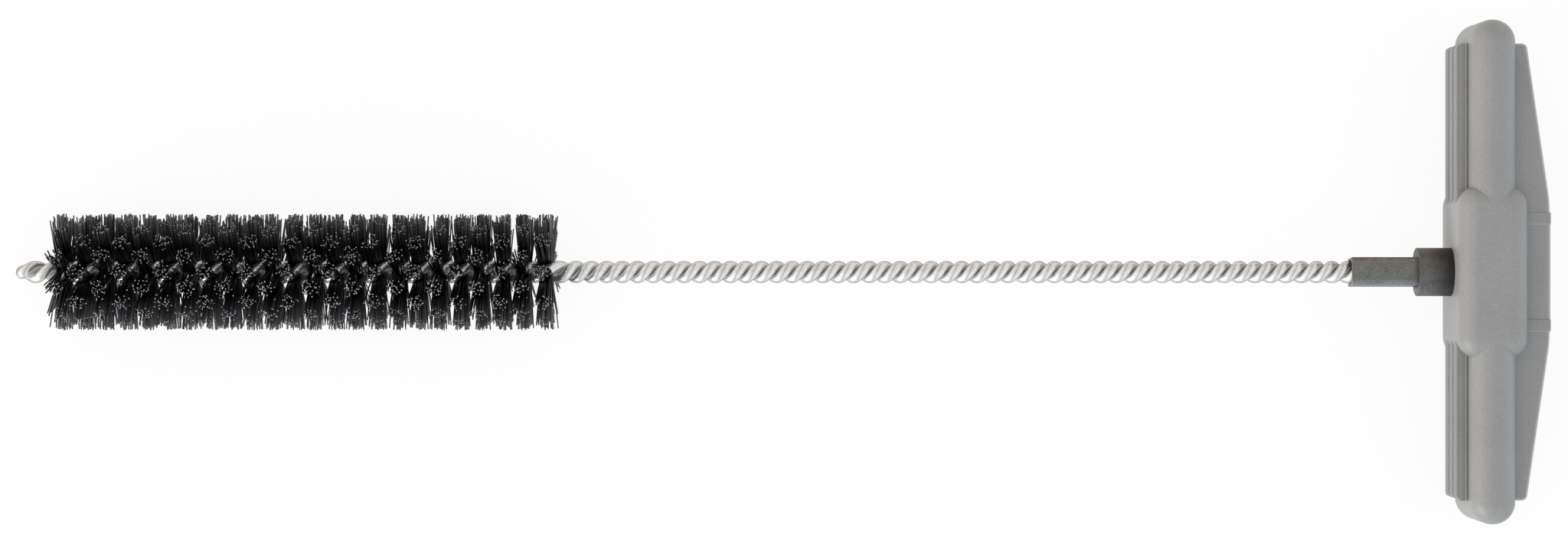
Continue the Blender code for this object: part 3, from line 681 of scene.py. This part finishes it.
nylonLook = {
    "deep": ((0.0, "#050506"), (1.0, "#101011")),
    "paintedSheen": ((0.0, "#373839"), (1.0, "#868789"), (0.88, "#717274"), (0.92, "#40372f"), (0.97, "#4c4036")),
    "paintedEndGlint": ((0.0, "#545557"), (1.0, "#9fa0a2")),
    # the painted sheen, a grey standing in for light on the brush's upper and lower sides, begins this far above
    # or below the wire's axis, and this share along a filament
    "sheenFrom": 5.0 * mm, "sheenFull": 11.3 * mm, "sheenAlongFrom": 0.45, "sheenAlongFull": 0.8,
}


def toneRamp(tree, tone, name):
    # a colour of the nylon, picked by each filament's own tone
    stops = [(level, linearColour(code)) for level, code in nylonLook[name]]
    return addNode(tree, "ShaderNodeValToRGB", links={"Fac": tone}, stops=stops).outputs["Color"]


def blackNylon():
    # extruded black nylon monofilament: smooth and slightly glossy, black, with a painted grey sheen on the outer
    # parts of the filaments on the brush's upper and lower sides, a few with a brown cast
    look = nylonLook
    material, tree, shader = newMaterial("blackNylonFilament", Roughness=0.32, IOR=1.53, Specular_IOR_Level=0.4)
    tone = addNode(tree, "ShaderNodeAttribute", attribute_name="tone").outputs["Fac"]
    along = addNode(tree, "ShaderNodeAttribute", attribute_name="along").outputs["Fac"]
    place = addNode(tree, "ShaderNodeTexCoord").outputs["Object"]
    # painted sheen: grey mixed in on the brush's upper and lower sides, towards the filaments' ends
    across = addNode(tree, "ShaderNodeSeparateXYZ", links={"Vector": place}).outputs["Y"]
    height = addNode(tree, "ShaderNodeMath", links={0: across}, operation="ABSOLUTE")
    outer = addNode(tree, "ShaderNodeMapRange", {"From Min": look["sheenFrom"], "From Max": look["sheenFull"]},
                    {"Value": height.outputs[0]})
    sheenAlong = addNode(tree, "ShaderNodeMapRange", {"From Min": look["sheenAlongFrom"], "From Max": look["sheenAlongFull"]},
                   {"Value": along})
    share = addNode(tree, "ShaderNodeMath", links={0: outer.outputs["Result"], 1: sheenAlong.outputs["Result"]},
                    operation="MULTIPLY")
    colour = addNode(tree, "ShaderNodeMix", links={"Factor": share.outputs[0], "A": toneRamp(tree, tone, "deep"),
                     "B": toneRamp(tree, tone, "paintedSheen")}, data_type="RGBA")
    tree.links.new(colour.outputs["Result"], shader.inputs["Base Color"])
    return material


def cutNylon():
    # sheared filament ends: each end is a dull grey dot, a painted highlight standing in for the light the cut
    # face reflects
    material, tree, shader = newMaterial("nylonEndPaintedGlint", Roughness=0.6, IOR=1.53)
    tone = addNode(tree, "ShaderNodeAttribute", attribute_name="tone").outputs["Fac"]
    tree.links.new(toneRamp(tree, tone, "paintedEndGlint"), shader.inputs["Base Color"])
    return material


# Studio: a white table in a pale tent, lit from both sides and the front, with a dim strip where the
# camera looks in between the sides

studio = {
    "distance": 760.8 * mm, "focalPixels": 4600, "photoWidthPixels": 2048, "centreX": 0.935 * mm,
    "sensorWidth": 36.0, "clipStart": 0.01,
    "tableHalf": 6.0, "tableWhite": 0.9, "tablePaper": (0.94, 0.94, 0.94, 1), "tentStrength": 0.86,
    # how bright the tent is, from one side to the other and from below the photo to above it
    "sideways": ((0.0, 1.85), (1.0, 1.7), (0.12, 1.5), (0.28, 1.02), (0.4, 1.2), (0.465, 0.42), (0.5, 0.3),
                 (0.535, 0.42), (0.6, 1.3), (0.88, 1.2), (0.94, 1.5)),
    "lengthways": ((0.0, 1.3), (1.0, 0.6), (0.35, 1.12), (0.62, 0.98), (0.8, 0.86), (0.9, 1.2), (0.96, 0.85)),
    # a little warmer from behind the brush, a little cooler from the palm side and the front
    "warm": (1.07, 1.0, 0.94, 1), "cool": (0.92, 0.985, 1.09, 1), "warmWay": (-0.35, 0.5, 0.0), "warmLevel": 0.5,
    "keyPlace": (-0.98, -0.82, 0.2), "keyAim": (0, 0, 0.013), "keySize": (0.9, 0.3), "keyWatts": 7.5,
}
plainWhite = {"Color": (1, 1, 1, 1), "Strength": 1.0}


def makeTable():
    # white paper, which the camera and reflections see as mostly plain white
    half = studio["tableHalf"]
    flat = np.array([[-half, -half, 0], [half, -half, 0], [half, half, 0], [-half, half, 0]])
    material = bpy.data.materials.new("whiteTable")
    material.use_nodes = True
    tree = material.node_tree
    tree.nodes.clear()
    seen = addNode(tree, "ShaderNodeLightPath").outputs
    direct = addNode(tree, "ShaderNodeMath", links={0: seen["Is Camera Ray"], 1: seen["Is Glossy Ray"]},
                     operation="MAXIMUM")
    either = addNode(tree, "ShaderNodeMath", links={0: direct.outputs[0], 1: seen["Is Transmission Ray"]},
                     operation="MAXIMUM")
    share = addNode(tree, "ShaderNodeMath", {1: studio["tableWhite"]}, {0: either.outputs[0]},
                    operation="MULTIPLY")
    paper = addNode(tree, "ShaderNodeBsdfDiffuse", {"Color": studio["tablePaper"]})
    white = addNode(tree, "ShaderNodeEmission", plainWhite)
    mixed = addNode(tree, "ShaderNodeMixShader",
                    links={0: share.outputs[0], 1: paper.outputs[0], 2: white.outputs[0]})
    addNode(tree, "ShaderNodeOutputMaterial", links={"Surface": mixed.outputs[0]})
    floor = bpy.data.objects.new("table", meshFrom("table", flat, [np.array([[0, 1, 2, 3]])], [material]))
    bpy.context.scene.collection.objects.link(floor)


def makeTent():
    # its brightness is one ramp sideways times one lengthways, and its tint goes by direction too
    world = bpy.data.worlds.new("paleDome")
    bpy.context.scene.world = world
    world.use_nodes = True
    tree = world.node_tree
    background = tree.nodes["Background"]
    background.inputs["Strength"].default_value = studio["tentStrength"]
    direction = addNode(tree, "ShaderNodeTexCoord").outputs["Generated"]
    parts = addNode(tree, "ShaderNodeSeparateXYZ", links={"Vector": direction})
    ramps = []
    for axis, name in (("X", "sideways"), ("Y", "lengthways")):
        way = addNode(tree, "ShaderNodeMapRange", {"From Min": -1.0}, {"Value": parts.outputs[axis]})
        stops = [(level, (grey, grey, grey, 1)) for level, grey in studio[name]]
        ramps.append(addNode(tree, "ShaderNodeValToRGB", links={"Fac": way.outputs["Result"]}, stops=stops))
    turned = addNode(tree, "ShaderNodeVectorMath", {1: studio["warmWay"]}, {0: direction},
                     operation="DOT_PRODUCT")
    warmth = addNode(tree, "ShaderNodeMath", {1: studio["warmLevel"]}, {0: turned.outputs["Value"]},
                     operation="ADD")
    tint = addNode(tree, "ShaderNodeMix", {"A": studio["cool"], "B": studio["warm"]},
                   {"Factor": warmth.outputs[0]}, data_type="RGBA")
    light = ramps[0].outputs["Color"]
    for layer in (ramps[1].outputs["Color"], tint.outputs["Result"]):
        light = addNode(tree, "ShaderNodeMix", {"Factor": 1.0}, {"A": light, "B": layer}, data_type="RGBA",
                        blend_type="MULTIPLY").outputs["Result"]
    tree.links.new(light, background.inputs["Color"])
    # the camera sees the tent itself as plain white
    white = addNode(tree, "ShaderNodeBackground", plainWhite)
    seen = addNode(tree, "ShaderNodeLightPath").outputs["Is Camera Ray"]
    shown = addNode(tree, "ShaderNodeMixShader", links={0: seen, 1: background.outputs[0], 2: white.outputs[0]})
    tree.links.new(shown.outputs[0], tree.nodes["World Output"].inputs["Surface"])


def addKeyLight():
    # a low softbox on the left, turned towards the brush
    light = bpy.data.lights.new("keyFromLeft", "AREA")
    light.shape = "RECTANGLE"
    light.size, light.size_y = studio["keySize"]
    light.energy = studio["keyWatts"]
    lamp = bpy.data.objects.new("keyFromLeft", light)
    toward = np.array(studio["keyAim"]) - np.array(studio["keyPlace"])
    toward = toward / np.linalg.norm(toward)
    lamp.location = studio["keyPlace"]
    lamp.rotation_euler = (math.acos(-toward[2]), 0, math.atan2(toward[1], toward[0]) - math.pi / 2)
    bpy.context.scene.collection.objects.link(lamp)


def makeCamera():
    # above the brush, with the lens that was fitted to the photo in the photo's own pixels
    camera = bpy.data.cameras.new("photoCamera")
    camera.sensor_width = studio["sensorWidth"]
    camera.lens = camera.sensor_width * studio["focalPixels"] / studio["photoWidthPixels"]
    camera.clip_start = studio["clipStart"]
    holder = bpy.data.objects.new("photoCamera", camera)
    holder.location = (studio["centreX"], 0, axisZ + studio["distance"])
    bpy.context.scene.collection.objects.link(holder)
    bpy.context.scene.camera = holder


gripPlastic = mouldedPlastic("sparkGrainedPolypropylene", dark="#80807e", light="#959593", roughness=0.42)
# a paler copy of the plastic, as a painted highlight along the web's, the pad's and the ribs' edges
highlightPlastic = mouldedPlastic("paintedHighlightPolypropylene", dark="#9c9c9a", light="#b0b0ae", roughness=0.42)
# the ridges are the same plastic, made darker and a little smoother
ridgePlastic = mouldedPlastic("darkerRidgePolypropylene", dark="#696967", light="#7b7b79", roughness=0.4)
# the collar's steel carries painted shade towards the hub
collarSteel = blastedSteel("blackenedSteelPaintedShade", dark="#373634", light="#83827e", roughness=0.5,
                           halfHeight=socket["collarSideLightSpan"], paintedShadeFrom=collarLow.x + socket["paintedShadeFrom"],
                           paintedShadeTo=collarLow.x + socket["collarShown"])
shankSteel = blastedSteel("blastedSteel", dark="#3d3d39", light="#959590", roughness=0.45,
                          halfHeight=socket["shankSideLightSpan"])
makeGrip(gripPlastic, highlightPlastic)
makeRidges(gripPlastic, ridgePlastic)
makeCollar(collarSteel)
makeShank(shankSteel)
makeWire(zincWire())
nylonMaterials = [blackNylon(), cutNylon()]
filamentFaces = sum(makeRing(index, name, nylonMaterials) for index, name in enumerate(ringNodes))
print("bristles set:", filamentFaces, "faces")

makeTable()
makeTent()
addKeyLight()
makeCamera()
bpy.context.scene.view_settings.view_transform = "Standard"
print("studio lit")
